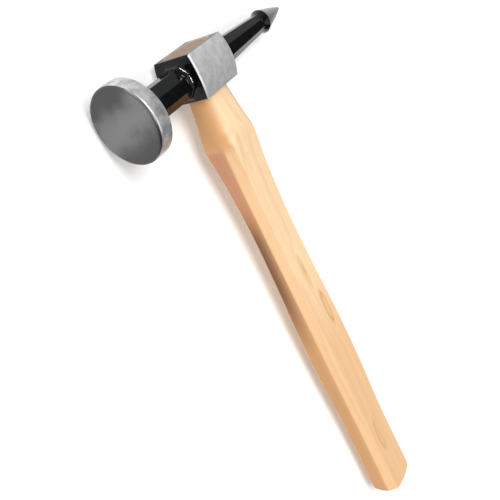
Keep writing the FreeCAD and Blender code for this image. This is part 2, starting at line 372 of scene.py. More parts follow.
def cheek_half_width(z):
    """Half the block's width at height z."""
    away = (z - BLOCK_MIDDLE_Z) / BLOCK_HALF_HEIGHT
    swell = BLOCK_MIDDLE_HALF_WIDTH - BLOCK_EDGE_HALF_WIDTH
    return BLOCK_EDGE_HALF_WIDTH + swell * (1 - away ** 2)


def block_outline(cheek_inset, cap_inset):
    """The block's section, as y and z of each place, with rounded corners.

    Places run from the lower cheek (+y) over the top (+z), the upper cheek and the bottom.
    """
    eighth = HEAD_AROUND // 8
    corner_half = 2
    top = BLOCK_TOP - cap_inset
    bottom = BLOCK_BOTTOM + cap_inset
    y = np.zeros(HEAD_AROUND)
    z = np.zeros(HEAD_AROUND)

    def cheek(height):
        return cheek_half_width(height) - cheek_inset

    for k in range(-eighth + corner_half, eighth - corner_half + 1):
        share = (k + eighth - corner_half) / (2 * (eighth - corner_half))
        height = bottom + BLOCK_RIM_ROUND + share * (top - bottom - 2 * BLOCK_RIM_ROUND)
        y[k % HEAD_AROUND] = cheek(height)
        z[k % HEAD_AROUND] = height
        opposite = (HEAD_AROUND // 2 - k) % HEAD_AROUND
        y[opposite] = -cheek(height)
        z[opposite] = height
    for k in range(corner_half - eighth, eighth - corner_half + 1):
        share = k / (eighth - corner_half)
        for level, middle in ((top, 2 * eighth), (bottom, 6 * eighth)):
            sign = -1 if middle == 2 * eighth else 1
            y[middle + k] = sign * share * (cheek(level) - BLOCK_RIM_ROUND)
            z[middle + k] = level
    for corner in (eighth, 3 * eighth, 5 * eighth, 7 * eighth):
        before = corner - corner_half
        after = (corner + corner_half) % HEAD_AROUND
        level = top if corner in (eighth, 3 * eighth) else bottom
        side = 1 if corner in (eighth, 7 * eighth) else -1
        peak = np.array([side * cheek(level), level])
        first = np.array([y[before], z[before]])
        last = np.array([y[after], z[after]])
        for step in range(1, 2 * corner_half):
            t = step / (2 * corner_half)
            spot = first * (1 - t) ** 2 + peak * 2 * t * (1 - t) + last * t ** 2
            y[before + step], z[before + step] = spot
    return y, z


def block_faces_up_or_down(k):
    """Whether place k of the block's section is on its top or bottom."""
    eighth = HEAD_AROUND // 8
    return eighth <= k < 3 * eighth or 5 * eighth <= k < 7 * eighth


def block_edge_rings(side):
    """Rings over the edge of the block's end, from its flat end to its full section.

    The front edges of the cheeks are bevelled, and all the other edges are rounded.
    """
    rings = []
    steps = 5
    caps = np.array([block_faces_up_or_down(k) for k in range(HEAD_AROUND)])
    cheek_size = BLOCK_FRONT_BEVEL if side < 0 else BLOCK_REAR_ROUND
    for step in range(steps + 1):
        t = step / steps
        turn = t * math.pi / 2
        round_in = 1 - math.sin(turn)
        round_along = 1 - math.cos(turn)
        cheek_in = 1 - t if side < 0 else round_in
        cheek_along = t if side < 0 else round_along
        y, z = block_outline(cheek_size * cheek_in, BLOCK_RIM_ROUND * round_in)
        along = np.where(caps, BLOCK_RIM_ROUND * round_along, cheek_size * cheek_along)
        x = block_end_x(z, side) - side * along
        rings.append(np.stack([x, y, z], axis=1))
    return rings


def neck_blend_rings(side, apothem_at, cosine, sine):
    """Rings of the concave blend between a neck and the block's end, ending on the block."""
    rings = []
    steps = 8
    wall = BLOCK_HALF_LENGTH + BLOCK_CROWN / 2
    for step in range(steps + 1):
        angle = step * math.pi / 2 / steps
        distance = NECK_BLEND * (1 - math.sin(angle))
        growth = NECK_BLEND * (1 - math.cos(angle))
        radius = octagon_radius(cosine, sine, apothem_at(wall + distance) + growth)
        x = block_end_x(radius * sine, side) + side * distance
        rings.append(cross_ring(x, radius, cosine, sine))
    return rings


def end_face_rings(inner, outer, side):
    """Rings across the block's crowned end, between the neck's blend and the end's edge."""
    rings = []
    steps = 7
    for step in range(1, steps):
        t = step / steps
        ring = inner * (1 - t) + outer * t
        ring[:, 0] = block_end_x(ring[:, 2], side)
        rings.append(ring)
    return rings


def pick_neck_apothem(x):
    """The tapering pick neck's size, from its axis to its flats."""
    share = (x - BLOCK_HALF_LENGTH) / (PICK_NECK_END_X - BLOCK_HALF_LENGTH)
    return PICK_NECK_START_APOTHEM + share * (PICK_NECK_END_APOTHEM - PICK_NECK_START_APOTHEM)


def face_rings(cosine, sine):
    """The round face, its rounded edge, the rim and the bevel behind it."""
    rings = []
    flat = FACE_RADIUS - FACE_ROUND
    for share in FACE_SHARES:
        rings.append(cross_ring(FACE_X, flat * share, cosine, sine))
    for step in range(FACE_ROUND_STEPS + 1):
        angle = step * math.pi / 2 / FACE_ROUND_STEPS
        x = FACE_X + FACE_ROUND * (1 - math.cos(angle))
        rings.append(cross_ring(x, flat + FACE_ROUND * math.sin(angle), cosine, sine))
    for x in np.linspace(FACE_X + FACE_ROUND, FACE_BACK_X - FACE_BEVEL, 8)[1:]:
        rings.append(cross_ring(x, FACE_RADIUS, cosine, sine))
    return rings


def flare_rings(cosine, sine):
    """The concave flare behind the round face, running into the octagonal neck."""
    rings = []
    top = FACE_RADIUS - FACE_BEVEL
    full = math.acos(1 - (top - FACE_NECK_APOTHEM) / FLARE_RADIUS)
    end = FACE_BACK_X + FLARE_RADIUS * math.sin(full)
    neck = octagon_radius(cosine, sine, FACE_NECK_APOTHEM)
    steps = 26
    for step in range(steps + 1):
        angle = full * (1 - step / steps)
        radius = FACE_NECK_APOTHEM + FLARE_RADIUS * (1 - math.cos(angle))
        x = end - FLARE_RADIUS * math.sin(angle)
        rings.append(cross_ring(x, larger_of(radius, neck), cosine, sine))
    return rings


def pick_point_rings(cosine, sine):
    """The collar's flare, the collar's edge, the crowned cone and the rounded tip."""
    rings = []
    flare_length = COLLAR_X - COLLAR_EDGE - PICK_NECK_END_X
    for step in range(COLLAR_FLARE_STEPS + 1):
        t = step / COLLAR_FLARE_STEPS
        x = PICK_NECK_END_X + t * flare_length
        neck = octagon_radius(cosine, sine, pick_neck_apothem(x))
        flare = PICK_NECK_END_APOTHEM + (COLLAR_RADIUS - PICK_NECK_END_APOTHEM) * t ** 1.75
        rings.append(cross_ring(x, larger_of(flare, neck), cosine, sine))
    edge_steps = 4
    for step in range(1, edge_steps + 1):
        angle = step * math.pi / 2 / edge_steps
        x = COLLAR_X - COLLAR_EDGE * (1 - math.sin(angle))
        radius = COLLAR_RADIUS - COLLAR_EDGE * (1 - math.cos(angle))
        rings.append(cross_ring(x, radius, cosine, sine))
    start = np.array([COLLAR_X, COLLAR_RADIUS - COLLAR_EDGE])
    centre = TIP_X - TIP_RADIUS
    slope = math.atan2(start[1] - TIP_RADIUS, centre - COLLAR_X)
    away = np.array([math.sin(slope), math.cos(slope)])
    end = np.array([centre, 0]) + TIP_RADIUS * away
    cone_steps = 16
    for step in range(1, cone_steps):
        t = step / cone_steps
        spot = start * (1 - t) + end * t + away * CONE_CROWN * 4 * t * (1 - t)
        rings.append(cross_ring(spot[0], spot[1], cosine, sine))
    tip_steps = 7
    for step in range(tip_steps):
        angle = (math.pi / 2 - slope) * (1 - step / tip_steps)
        x = centre + TIP_RADIUS * math.cos(angle)
        rings.append(cross_ring(x, TIP_RADIUS * math.sin(angle), cosine, sine))
    return rings


def straight_rings(start, end, count, radius_at, cosine, sine):
    """Rings between, and not at, two rings' places along the head."""
    rings = []
    for t in np.linspace(0, 1, count + 2)[1:-1]:
        x = start[:, 0] * (1 - t) + end[:, 0] * t
        rings.append(cross_ring(x, radius_at(x), cosine, sine))
    return rings


def head_rings():
    """All the head's rings from face to tip, and the finish of the band that follows each."""
    cosine, sine = around(HEAD_AROUND)
    rings = []
    finishes = []

    def add(more, finish):
        rings.extend(more)
        finishes.extend([finish] * len(more))

    def front_apothem(_x):
        return FACE_NECK_APOTHEM

    def front_radius(_x):
        return octagon_radius(cosine, sine, FACE_NECK_APOTHEM)

    def pick_radius(x):
        return octagon_radius(cosine, sine, pick_neck_apothem(x))

    flare = flare_rings(cosine, sine)
    front_blend = neck_blend_rings(-1, front_apothem, cosine, sine)
    front_edge = block_edge_rings(-1)
    rear_edge = block_edge_rings(1)[::-1]
    rear_blend = neck_blend_rings(1, pick_neck_apothem, cosine, sine)[::-1]
    point = pick_point_rings(cosine, sine)

    add(face_rings(cosine, sine), TURNED)
    satin_rings = len(FACE_SHARES) + FACE_ROUND_STEPS * 2 // 3
    finishes[:satin_rings] = [SATIN] * satin_rings
    add(flare, LACQUER)
    add(straight_rings(flare[-1], front_blend[0], 14, front_radius, cosine, sine), LACQUER)
    add(front_blend, LACQUER)
    add(end_face_rings(front_blend[-1], front_edge[0], -1), LACQUER)
    add(front_edge, GROUND)
    for t in np.linspace(0, 1, 22)[1:-1]:
        add([front_edge[-1] * (1 - t) + rear_edge[0] * t], GROUND)
    add(rear_edge, GROUND)
    finishes[-1] = LACQUER
    add(end_face_rings(rear_blend[0], rear_edge[-1], 1)[::-1], LACQUER)
    add(rear_blend, LACQUER)
    add(straight_rings(rear_blend[-1], point[0], 30, pick_radius, cosine, sine), LACQUER)
    add(point, SATIN)
    collar = len(rings) - len(point)
    finishes[collar:collar + COLLAR_FLARE_STEPS] = [LACQUER] * COLLAR_FLARE_STEPS
    return rings, finishes


def head_finish(rings, finishes):
    """The finish of each face.  The block's underside and end rims are lacquered, its top satin."""
    eighth = HEAD_AROUND // 8

    def finish(i, k):
        if finishes[i] != GROUND or not block_faces_up_or_down(k):
            return finishes[i]
        underside = k >= 5 * eighth
        end_rim = abs(rings[i][k][0]) > BLOCK_HALF_LENGTH - LACQUERED_END
        return LACQUER if underside or end_rim else SATIN

    return finish


def make_head(materials):
    """The one-piece forged head, with its eye."""
    rings, finishes = head_rings()
    face_centre = (FACE_X, 0, 0)
    tip = (TIP_X, 0, 0)
    mesh = tube("hammer_head_visual", rings, face_centre, tip, head_finish(rings, finishes))
    head = new_object("hammer_head_visual", mesh, materials)
    carve(head, eye_tool(materials), "DIFFERENCE")
    return head


# ---------------------------------------------------------------- eye and tenon

def eye_half_sizes(z):
    """The eye's half-sizes along x and y at height z, on a parabola through its stations."""
    zs = [station[0] for station in EYE_STATIONS]
    return [float(np.polyval(np.polyfit(zs, [s[i] for s in EYE_STATIONS], 2), z)) for i in (1, 2)]


def oval(half_x, half_y, squareness, cosine, sine):
    """The distance to an oval in each direction.  Squareness 2 is an ellipse."""
    reach = np.abs(cosine) / half_x
    rise = np.abs(sine) / half_y
    return (reach ** squareness + rise ** squareness) ** (-1 / squareness)


def eye_ring(z, gap, cosine, sine):
    """A ring of the eye's wall at height z, moved inwards by gap."""
    half_x, half_y = eye_half_sizes(min(max(z, BLOCK_BOTTOM), BLOCK_TOP))
    radius = oval(half_x - gap, half_y - gap, EYE_SQUARENESS, cosine, sine)
    return np.stack([radius * cosine, radius * sine, np.full_like(cosine, z)], axis=1)


def eye_tool(materials):
    """The closed shape that cuts the eye, with a small bevel at each mouth."""
    cosine, sine = around(128)
    rings = []
    past = 1.0
    bevel = EYE_MOUTH_BEVEL
    rings.append(eye_ring(BLOCK_BOTTOM - past, -bevel - past, cosine, sine))
    for z in np.linspace(BLOCK_BOTTOM + bevel, BLOCK_TOP - bevel, 10):
        rings.append(eye_ring(z, 0, cosine, sine))
    rings.append(eye_ring(BLOCK_TOP + past, -bevel - past, cosine, sine))
    low = (0, 0, BLOCK_BOTTOM - past)
    high = (0, 0, BLOCK_TOP + past)
    mesh = tube("eye_tool", rings, low, high, lambda i, k: GROUND)
    return new_object("eye_tool", mesh, materials)


def tenon_top_z(share):
    """The slightly domed top of the wood in the eye, by share of the way from its middle."""
    return BLOCK_TOP + TENON_DOME * (1 - share ** 2) - TENON_EDGE_DROP * share ** 12


def tenon_rings(gap, cosine, sine):
    """Rings from the bottom of the eye to near the middle of the tenon's domed top."""
    rings = []
    for z in np.linspace(BLOCK_BOTTOM, tenon_top_z(1.0), 14):
        rings.append(eye_ring(z, gap, cosine, sine))
    edge = rings[-1]
    for share in (0.985, 0.96, 0.9, 0.8, 0.65, 0.5, 0.35, 0.2, 0.08):
        ring = edge * share
        ring[:, 2] = tenon_top_z(share)
        rings.append(ring)
    return rings


# ---------------------------------------------------------------- handle

def grip_middle(z):
    """How far the leaning grip's middle is from the handle's axis at height z."""
    return max(0.0, GRIP_LEAN_START - z) * (GRIP_LEAN_SIDEWAYS / GRIP_LEAN_LENGTH)


def grip_terms(z, cosine, sine):
    """Inverse distances to the grip's flats and chamfers in each direction."""
    half_x = smooth_between(GRIP_STATIONS, z, 1)
    half_y = smooth_between(GRIP_STATIONS, z, 2)
    chamfer = half_x + half_y - GRIP_CHAMFER
    flat_x = np.abs(cosine)
    flat_y = np.abs(sine)
    return [flat_x / half_x, flat_y / half_y, (flat_x + flat_y) / chamfer]


def softened(terms, crispness):
    """The distance to the nearest of several surfaces, with softened edges between them."""
    total = sum(term ** crispness for term in terms)
    return total ** (-1 / crispness)


def handle_radius(z, cosine, sine):
    """The distance from the handle's middle to its surface, in each direction."""
    terms = grip_terms(z, cosine, sine)
    if z > NECK_STATIONS[-1][0]:
        half_x = smooth_between(NECK_STATIONS, z, 1)
        half_y = smooth_between(NECK_STATIONS, z, 2)
        squareness = smooth_between(NECK_STATIONS, z, 3)
        terms.append(1 / oval(half_x, half_y, squareness, cosine, sine))
    return softened(terms, GRIP_CRISPNESS)


def handle_ring(z, radius, cosine, sine):
    """A ring of points across the handle."""
    x = grip_middle(z) + radius * cosine
    return np.stack([x, radius * sine, np.full_like(cosine, z)], axis=1)


def butt_rings(cosine, sine):
    """Rings of the domed butt, swung up from its lowest point to the grip's side."""
    rings = []
    side = handle_radius(BUTT_PIVOT_Z, cosine, sine)
    steps = 48
    for step in range(1, steps):
        share = step / steps
        out = math.sin(share * math.pi / 2)
        down = math.cos(share * math.pi / 2)
        dome = math.hypot(out / BUTT_DOME_HALF, down / BUTT_DOME_HEIGHT)
        crispness = BUTT_ROUNDEST + (GRIP_CRISPNESS - BUTT_ROUNDEST) * share ** 4
        reach = softened([dome, out / side], crispness)
        x = grip_middle(BUTT_PIVOT_Z) + reach * out * cosine
        z = BUTT_PIVOT_Z - reach * down
        rings.append(np.stack([x, reach * out * sine, z], axis=1))
    return rings


def handle_heights():
    """Heights of the handle's rings: close together where the neck meets the grip."""
    lower = np.arange(BUTT_PIVOT_Z, -60.0, 2.5)
    waist = np.arange(-60.0, -47.0, 1.2)
    shoulder = np.arange(-47.0, -24.0, 0.45)
    neck = np.linspace(-24.0, BLOCK_BOTTOM, 14)
    return np.concatenate([lower, waist, shoulder, neck])


def make_handle(wood):
    """The hickory handle, from its butt through the grip and neck to the tenon's top."""
    cosine, sine = around(HANDLE_AROUND)
    rings = butt_rings(cosine, sine)
    for z in handle_heights():
        rings.append(handle_ring(z, handle_radius(z, cosine, sine), cosine, sine))
    rings.extend(tenon_rings(TENON_GAP, cosine, sine))
    butt = (grip_middle(BUTT_PIVOT_Z), 0, BUTT_Z)
    top = (0, 0, tenon_top_z(0))
    mesh = tube("handle_visual", rings, butt, top, lambda i, k: 0)
    handle = new_object("handle_visual", mesh, [wood])
    carve(handle, wood_wedge_slab(WEDGE_GAP), "DIFFERENCE")
    for name in STEEL_WEDGE_SPOTS:
        carve(handle, steel_wedge_slab(name, WEDGE_GAP), "DIFFERENCE")
    return handle


# ---------------------------------------------------------------- wedges

def slab(name, middle, half_top, half_end, top_z, depth):
    """A tapered slab hanging from top_z, thinner at its lower end, as an object."""
    rings = []
    steps = 10
    for step in range(steps + 1):
        t = step / steps
        z = top_z - depth * (1 - t)
        half_x = half_end[0] * (1 - t) + half_top[0] * t
        half_y = half_end[1] * (1 - t) + half_top[1] * t
        rings.append(slab_ring(middle, half_x, half_y, z))
    low = (middle[0], middle[1], top_z - depth)
    high = (middle[0], middle[1], top_z)
    mesh = tube(name, rings, low, high, lambda i, k: 0)
    return new_object(name, mesh)


def slab_ring(middle, half_x, half_y, z):
    """A rectangle of points with slightly rounded corners."""
    cosine, sine = around(96)
    corner = min(SLAB_CORNER, 0.6 * min(half_x, half_y))
    x = (half_x - corner) * np.sign(cosine) + corner * cosine
    y = (half_y - corner) * np.sign(sine) + corner * sine
    return np.stack([middle[0] + x, middle[1] + y, np.full_like(x, z)], axis=1)


def wood_wedge_slab(gap):
    """The wooden wedge before it is trimmed to the eye, grown by gap."""
    half_length = EYE_STATIONS[-1][1] + WOOD_WEDGE_PAST_EYE
    slope = (WOOD_WEDGE_TOP - WOOD_WEDGE_END) / WOOD_WEDGE_DEPTH
    top = (half_length, (WOOD_WEDGE_TOP + slope * SLAB_LIFT) / 2 + gap)
    end = (half_length, WOOD_WEDGE_END / 2 + gap)
    depth = WOOD_WEDGE_DEPTH + SLAB_LIFT
    return slab("wood_wedge_slab", (0, 0), top, end, BLOCK_TOP + SLAB_LIFT, depth)


def steel_wedge_slab(name, gap):
    """The space that a steel wedge takes, grown by gap."""
    slope = (STEEL_WEDGE_TOP - STEEL_WEDGE_END) / STEEL_WEDGE_DEPTH
    top = ((STEEL_WEDGE_TOP + slope * SLAB_LIFT) / 2 + gap, STEEL_WEDGE_WIDTH / 2 + gap)
    end = (STEEL_WEDGE_END / 2 + gap, STEEL_WEDGE_WIDTH / 2 + gap)
    spot = STEEL_WEDGE_SPOTS[name]
    depth = STEEL_WEDGE_DEPTH + SLAB_LIFT
    return slab(name + "_slab", spot, top, end, BLOCK_TOP + SLAB_LIFT, depth)


def make_wood_wedge(wood):
    """The wooden wedge, trimmed to the eye and split by the steel wedges."""
    wedge = wood_wedge_slab(0)
    wedge.data.materials.append(wood)
    wedge.name = "wood_wedge_visual"
    cosine, sine = around(128)
    rings = tenon_rings(TENON_GAP, cosine, sine)
    low = (0, 0, BLOCK_BOTTOM)
    top = (0, 0, tenon_top_z(0))
    mesh = tube("eye_fill", rings, low, top, lambda i, k: 0)
    carve(wedge, new_object("eye_fill", mesh), "INTERSECT")
    for name in STEEL_WEDGE_SPOTS:
        carve(wedge, steel_wedge_slab(name, WEDGE_GAP), "DIFFERENCE")
    return wedge


def make_steel_wedge(name, steel):
    """One steel wedge, with softened edges and a top hammered almost flush with the wood."""
    spot = STEEL_WEDGE_SPOTS[name]
    top_z = BLOCK_TOP + STEEL_WEDGE_PROUD
    top = (STEEL_WEDGE_TOP / 2, STEEL_WEDGE_WIDTH / 2)
    end = (STEEL_WEDGE_END / 2, STEEL_WEDGE_WIDTH / 2)
    wedge = slab(name + "_visual", spot, top, end, top_z, STEEL_WEDGE_DEPTH)
    wedge.data.materials.append(steel)
    bevel = wedge.modifiers.new("soft_edges", "BEVEL")
    bevel.width = STEEL_WEDGE_BEVEL
    bevel.segments = 2
    bevel.limit_method = "ANGLE"
    bevel.angle_limit = math.radians(STEEL_WEDGE_SHARP)
    apply_modifiers(wedge)
    return wedge


# ---------------------------------------------------------------- materials

class Nodes:
    """A small helper that adds and links shader nodes."""

    def __init__(self, name):
        self.material = bpy.data.materials.new(name)
        self.material.use_nodes = True
        self.tree = self.material.node_tree
        self.tree.nodes.clear()
        output = self.tree.nodes.new("ShaderNodeOutputMaterial")
        self.shader = self.tree.nodes.new("ShaderNodeBsdfPrincipled")
        self.link(self.shader.outputs[0], output.inputs[0])

    def link(self, source, target):
        self.tree.links.new(source, target)

    def put(self, node, socket, value):
        """Give a socket a value or another node's output."""
        if isinstance(value, bpy.types.NodeSocket):
            self.link(value, node.inputs[socket])
        else:
            node.inputs[socket].default_value = value

    def place(self, scale):
        """The point on the hammer in its own axes, in millimetres, scaled along each axis."""
        attribute = self.tree.nodes.new("ShaderNodeAttribute")
        attribute.attribute_name = "hammer_mm"
        return self.vector("MULTIPLY", attribute.outputs["Vector"], scale)

    def vector(self, operation, a, b=None):
        node = self.tree.nodes.new("ShaderNodeVectorMath")
        node.operation = operation
        self.put(node, 0, a)
        if b is not None:
            self.put(node, 1, b)
        return node.outputs["Value" if operation in ("DOT_PRODUCT", "LENGTH") else "Vector"]

    def math(self, operation, a, b=0.0, clamp=False):
        node = self.tree.nodes.new("ShaderNodeMath")
        node.operation = operation
        node.use_clamp = clamp
        self.put(node, 0, a)
        self.put(node, 1, b)
        return node.outputs[0]

    def noise(self, vector, scale=1.0, detail=4.0, roughness=0.5):
        node = self.tree.nodes.new("ShaderNodeTexNoise")
        self.put(node, "Vector", vector)
        self.put(node, "Scale", scale)
        self.put(node, "Detail", detail)
        self.put(node, "Roughness", roughness)
        return node.outputs["Fac"]

    def ramp(self, value, low, high, from_value=0.0, to_value=1.0):
        """A smooth step of value between low and high."""
        node = self.tree.nodes.new("ShaderNodeMapRange")
        node.interpolation_type = "SMOOTHSTEP"
        self.put(node, "Value", value)
        self.put(node, "From Min", low)
        self.put(node, "From Max", high)
        self.put(node, "To Min", from_value)
        self.put(node, "To Max", to_value)
        return node.outputs["Result"]

    def mix(self, share, first, second):
        """A colour between two colours."""
        node = self.tree.nodes.new("ShaderNodeMix")
        node.data_type = "RGBA"
        self.put(node, "Factor", share)
        self.put(node, 6, first)
        self.put(node, 7, second)
        return node.outputs[2]

    def bump(self, height, strength, distance, after=None):
        """Small relief, whose full height is distance, in metres, on top of the normal after."""
        node = self.tree.nodes.new("ShaderNodeBump")
        self.put(node, "Height", height)
        self.put(node, "Strength", strength)
        self.put(node, "Distance", distance)
        if after is not None:
            self.put(node, "Normal", after)
        return node.outputs["Normal"]

    def set(self, **sockets):
        """Set the shader's sockets, given by name with _ for a space."""
        for name, value in sockets.items():
            self.put(self.shader, name.replace("_", " "), value)
        return self.material


def rgb(red, green, blue):
    """A colour given in sRGB, 0 to 255, as the shader's linear values."""
    linear = []
    for part in (red, green, blue):
        c = part / 255
        linear.append(c / 12.92 if c <= 0.04045 else ((c + 0.055) / 1.055) ** 2.4)
    return (*linear, 1.0)


# Colours of the handle's narrow sides, and of the wood beside the neck: partly the wood's own,
# partly painted shade
HONEY_WOOD = rgb(204, 151, 98)
HEART_WOOD = rgb(122, 80, 50)
PINK_WOOD = rgb(182, 107, 79)


def satin_steel():
    """Satin steel, lighter on the cone.  On the striking face, its dark tone and a lighter band
    across it are painted reflection of the surroundings.
    """
    n = Nodes("satin_steel")
    spot = n.place((1, 1, 1))
    # Painted reflection: a lighter band across the striking face, and darker steel away from it
    across = n.vector("DOT_PRODUCT", spot, (0, 0.33, 0.94))
    wander = n.noise(spot, scale=0.09, detail=2, roughness=0.5)
    across = n.math("ADD", across, n.math("MULTIPLY", n.math("SUBTRACT", wander, 0.5), 14.0))
    band = n.ramp(n.math("ABSOLUTE", across), 1.0, 15.0)
    arcs = n.noise(n.place((0.2, 2.6, 0.25)), detail=5, roughness=0.65)
    grit = n.noise(spot, scale=4.5, detail=3, roughness=0.6)
    marks = n.math("MULTIPLY", n.math("SUBTRACT", n.math("ADD", arcs, grit), 1.0), 0.45)
    tone = n.math("ADD", band, marks, clamp=True)
    on_cone = n.ramp(n.vector("DOT_PRODUCT", spot, (1, 0, 0)), 55.0, 70.0)
    pale = n.mix(on_cone, rgb(128, 128, 129), rgb(164, 164, 165))
    colour = n.mix(tone, pale, rgb(84, 84, 85))
    rough = n.math("ADD", 0.30, n.math("MULTIPLY", n.math("ADD", wander, arcs), 0.10))
    normal = n.bump(n.math("ADD", arcs, grit), 0.25, 0.00003)
    return n.set(Base_Color=colour, Metallic=1.0, Roughness=rough, Normal=normal)


def turned_steel():
    """Steel polished on a lathe: fine rings around the head's axis, and cloudy patches."""
    n = Nodes("turned_steel")
    spot = n.place((1, 1, 1))
    radius = n.vector("LENGTH", n.place((0, 1, 1)))
    along = n.vector("DOT_PRODUCT", spot, (1, 0, 0))
    rings = n.tree.nodes.new("ShaderNodeCombineXYZ")
    n.put(rings, 0, n.math("MULTIPLY", radius, 7.0))
    n.put(rings, 1, n.math("MULTIPLY", along, 7.0))
    n.put(rings, 2, n.math("MULTIPLY", n.vector("DOT_PRODUCT", spot, (0, 1, 0.3)), 0.05))
    lines = n.noise(rings.outputs[0], detail=5, roughness=0.65)
    clouds = n.noise(spot, scale=0.16, detail=3, roughness=0.6)
    tone = n.math("ADD", n.math("MULTIPLY", lines, 0.3), n.math("MULTIPLY", clouds, 0.7))
    colour = n.mix(n.ramp(tone, 0.35, 0.65), rgb(160, 160, 161), rgb(218, 218, 219))
    rough = n.math("ADD", 0.30, n.math("MULTIPLY", clouds, 0.24))
    normal = n.bump(lines, 0.3, 0.00003)
    return n.set(Base_Color=colour, Metallic=0.85, Roughness=rough, Normal=normal)


def ground_steel():
    """Steel ground on a belt: short scratches along the head, and a soft mottle."""
    n = Nodes("ground_steel")
    scratches = n.noise(n.place((0.25, 5.0, 5.0)), detail=5, roughness=0.7)
    cross = n.noise(n.place((2.2, 0.9, 0.9)), detail=4, roughness=0.6)
    mottle = n.noise(n.place((1, 1, 1)), scale=0.28, detail=3, roughness=0.55)
    tone = n.math("ADD", n.math("MULTIPLY", scratches, 0.4), n.math("MULTIPLY", mottle, 0.6))
    colour = n.mix(n.ramp(tone, 0.35, 0.65), rgb(200, 200, 201), rgb(222, 222, 222))
    rough = n.math("ADD", 0.44, n.math("MULTIPLY", n.math("ADD", mottle, cross), 0.10))
    normal = n.bump(scratches, 0.30, 0.00003, n.bump(cross, 0.2, 0.00004))
    return n.set(Base_Color=colour, Metallic=0.85, Roughness=rough, Normal=normal)


def black_lacquer():
    """Glossy black lacquer with a faint orange peel."""
    n = Nodes("black_lacquer")
    spot = n.place((1, 1, 1))
    peel = n.noise(spot, scale=0.55, detail=2, roughness=0.4)
    dust = n.noise(spot, scale=0.25, detail=4, roughness=0.6)
    colour = n.mix(n.ramp(dust, 0.4, 0.7), rgb(9, 10, 11), rgb(16, 17, 18))
    rough = n.math("ADD", 0.04, n.math("MULTIPLY", dust, 0.05))
    normal = n.bump(peel, 0.25, 0.0001)
    return n.set(Base_Color=colour, Roughness=rough, Normal=normal, Specular_IOR_Level=0.25)


def oval_figures(n, spot):
    """How near a point is to the middle of an oval figure in the grain, 0 to 1."""
    total = 0.0
    for middle, spread in OVAL_FIGURES:
        inverse = tuple(1 / size if size else 0 for size in spread)
        offset = n.vector("MULTIPLY", n.vector("SUBTRACT", spot, middle), inverse)
        distance = n.vector("DOT_PRODUCT", offset, offset)
        total = n.math("ADD", total, n.math("POWER", math.e, n.math("MULTIPLY", distance, -1.0)))
    return total


def growth_rings(n, spot, ovals):
    """The wood's growth rings, 0 to 1, which close around the oval figures."""
    drift = n.noise(n.place((0.06, 0.06, 0.010)), detail=2, roughness=0.5)
    depth = n.vector("DOT_PRODUCT", spot, (0.10, 0.26, 0.001))
    field = n.math("ADD", depth, n.math("MULTIPLY", drift, 1.6))
    field = n.math("ADD", field, n.math("MULTIPLY", ovals, 1.1))
    return n.ramp(n.math("PINGPONG", field, 0.5), 0.28, 0.5)


def side_colour_and_shade(n, height, depth):
    """The wood's colour on its sides: honey, with brown heartwood and pink above that.  The
    heartwood's share grows towards the floor side (+y), which is painted shade.
    """
    above = n.ramp(height, -100.0, -62.0)
    heart_and_shade = n.math("MULTIPLY", n.ramp(height, -190.0, -125.0), n.math("SUBTRACT", 1.0, above))
    heart_and_shade = n.math("MULTIPLY", heart_and_shade, n.ramp(depth, -5.0, 3.0, 0.35, 1.0))
    pink = n.math("MULTIPLY", above, n.ramp(height, -42.0, -36.0, 1.0, 0.0))
    return n.mix(pink, n.mix(heart_and_shade, HONEY_WOOD, HEART_WOOD), PINK_WOOD)


def side_tone_and_shade(n, sideways, height, depth):
    """How much of the side colour shows: on the grip's narrow sides and beside the neck.  This is
    partly the sides' own colour and partly painted shade on the sides that turn from the lights.
    """
    grip_only = n.ramp(height, -40.0, -37.0, 1.0, 0.0)
    along = n.math("MULTIPLY", n.ramp(height, -95.0, -60.0, 1.0, 0.62), grip_only)
    # More side colour towards +y, the floor side, is painted shade
    across = n.math("MULTIPLY", n.ramp(sideways, 0.70, 1.0), n.ramp(depth, -7.0, 0.0, 0.75, 1.0))
    # Beside the neck, just under the head, the side colour is partly painted shade
    by_neck_and_shade = n.math("MULTIPLY", n.ramp(sideways, 0.25, 0.85), n.ramp(height, -44.0, -34.0))
    return n.math("MAXIMUM", n.math("MULTIPLY", across, along), n.math("MULTIPLY", by_neck_and_shade, 0.9))


def long_grain(n, ovals, rings, fibres, pores, pale, dark):
    """The wood's colour along its fibres: growth rings, oval figures, streaks and open pores."""
    streaks = n.noise(n.place((0.5, 0.5, 0.012)), detail=4, roughness=0.55)
    figure = n.ramp(ovals, 0.40, 0.62)
    ring_depth = n.math("ADD", 0.16, n.math("MULTIPLY", figure, 0.30))
    grain = n.math("ADD", n.math("MULTIPLY", rings, ring_depth), n.math("MULTIPLY", streaks, 0.42))
    grain = n.math("ADD", grain, n.math("MULTIPLY", figure, 0.30))
    grain = n.math("ADD", grain, n.math("MULTIPLY", n.ramp(fibres, 0.4, 0.8), 0.18))
    colour = n.mix(n.math("SUBTRACT", grain, 0.12, clamp=True), pale, dark)
    return n.mix(n.math("MULTIPLY", pores, 0.25), colour, rgb(160, 112, 74))


def tanned_and_shaded(n, colour, sideways, height):
    """The wood's colour, tanner towards the butt, and tanner on the grip's chamfers as painted
    shade.
    """
    by_height = n.ramp(height, -190.0, -120.0, 0.5, 0.0)
    # The tan on the chamfers is painted shade, as they turn away from the light
    chamfer_shade = n.ramp(sideways, 0.35, 0.68, 0.0, 0.5)
    return n.mix(n.math("MAXIMUM", by_height, chamfer_shade), colour, rgb(216, 164, 112))


def flecked(n, colour, spot):
    """The wood's colour, with the orange fleck beside the neck."""
    offset = n.vector("MULTIPLY", n.vector("SUBTRACT", spot, NECK_FLECK), (0.35, 0.3, 0.18))
    fleck = n.ramp(n.vector("LENGTH", offset), 0.2, 1.2, 0.55, 0.0)
    return n.mix(fleck, colour, rgb(206, 134, 70))


